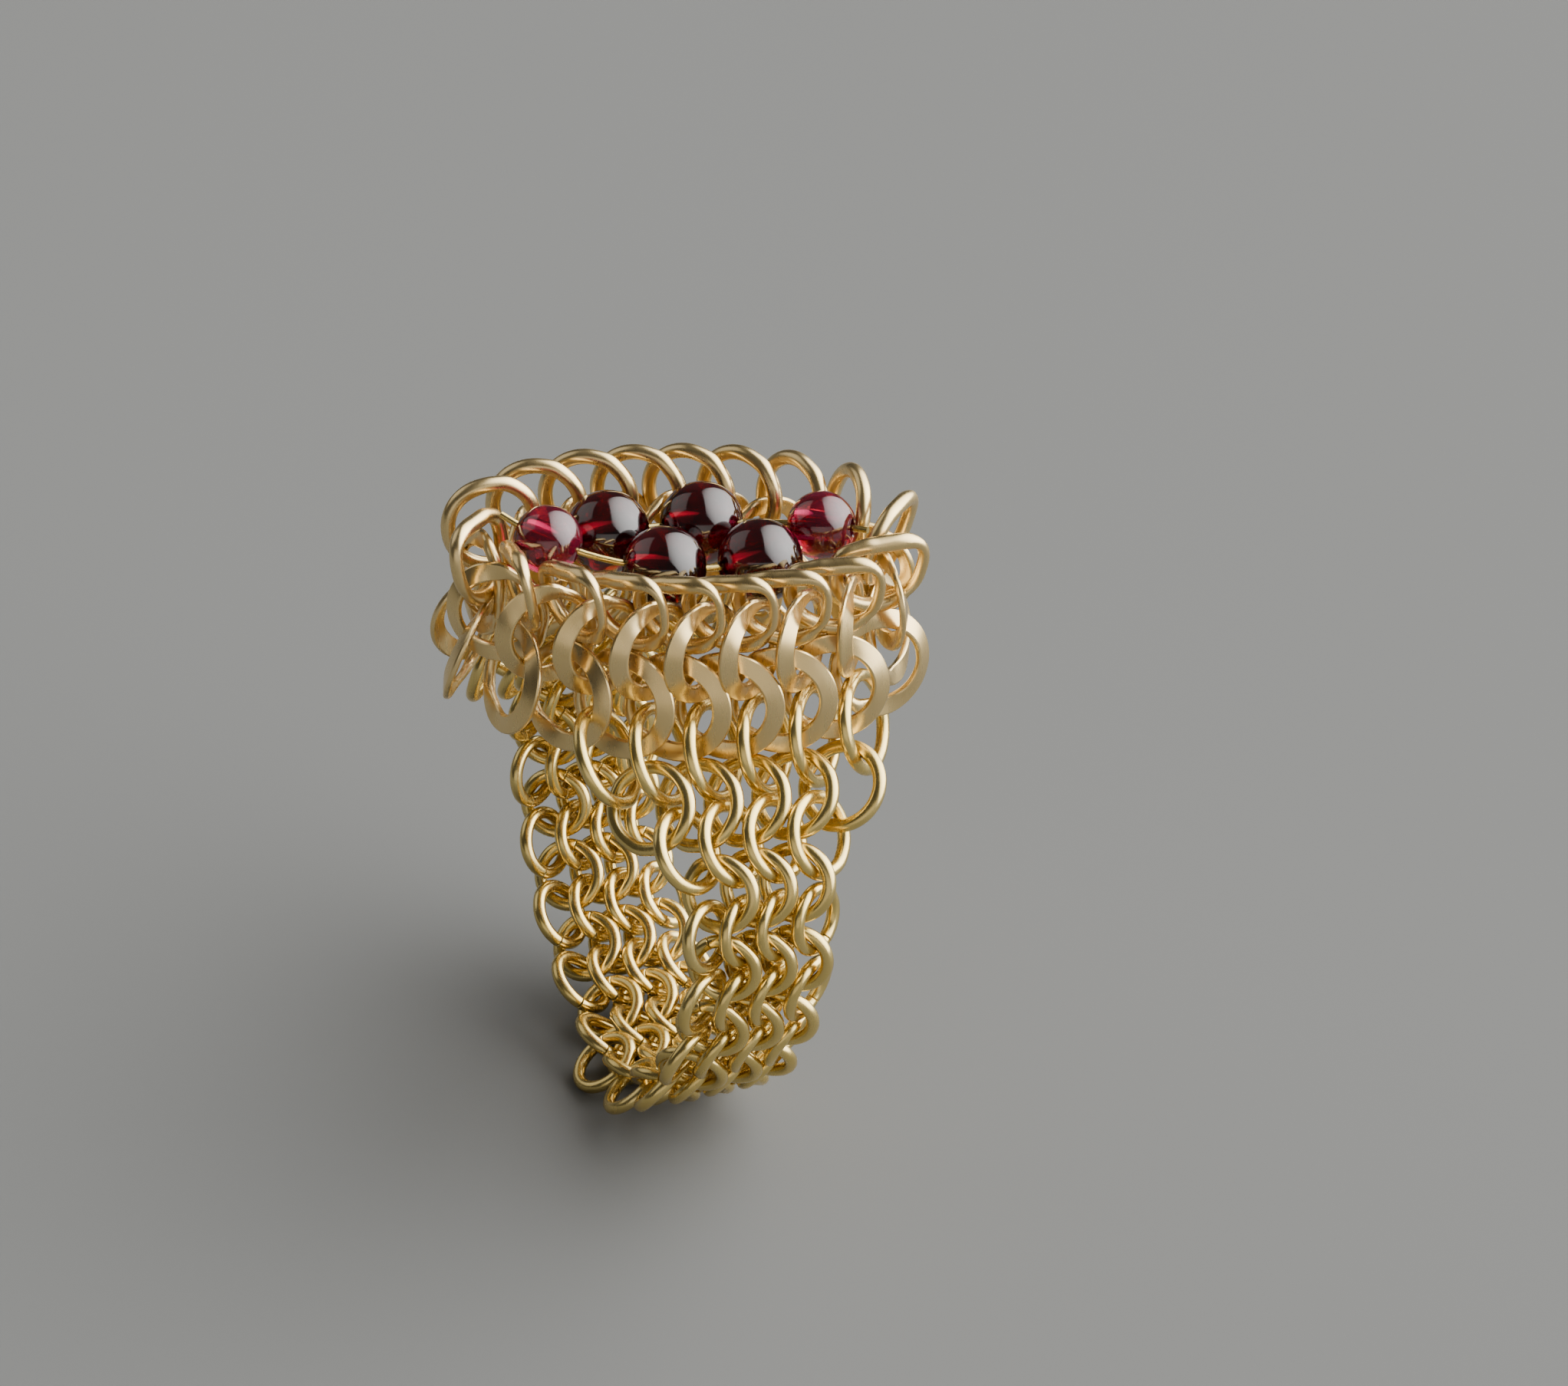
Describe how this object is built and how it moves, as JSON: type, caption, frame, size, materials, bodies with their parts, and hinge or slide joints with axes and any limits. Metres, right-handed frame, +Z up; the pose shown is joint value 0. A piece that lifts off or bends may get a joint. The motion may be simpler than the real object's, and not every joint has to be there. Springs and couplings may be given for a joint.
{
  "type": "chainmail ring",
  "caption": "Finger ring of fine gold chainmail: a boat-shaped basket of flattened links holds strung garnet beads, and its skirts narrow to a supple mail band that loops under the finger.",
  "frame": {"origin": "where the saddle of the basket sits on top of the finger, in the middle of the ring", "axes": "+X along the finger towards the fingertip, +Z up from the finger through the basket, +Y across the finger, away from the side with the front skirt"},
  "size_m": [0.0218, 0.0232, 0.0295],
  "materials": {
    "flattened_gold": "satin, hammered flat, pale yellow gold",
    "gold_wire": "polished, pale yellow gold wire",
    "garnet": "polished, very dark red garnet",
    "pink_garnet": "polished, crimson pink garnet"
  },
  "bodies": {
    "root": {"rim_links": "flattened_gold", "waist_links": "flattened_gold", "base_links": "flattened_gold", "skirt_front": "gold_wire", "skirt_back": "gold_wire", "band_front": "gold_wire", "band_back": "gold_wire", "large_bead_1": "garnet", "large_bead_2": "garnet", "large_bead_3": "garnet", "large_bead_4": "garnet", "small_bead_1": "pink_garnet", "small_bead_2": "pink_garnet", "bead_wire_back": "gold_wire", "bead_wire_front": "gold_wire"}
  },
  "joints": []
}
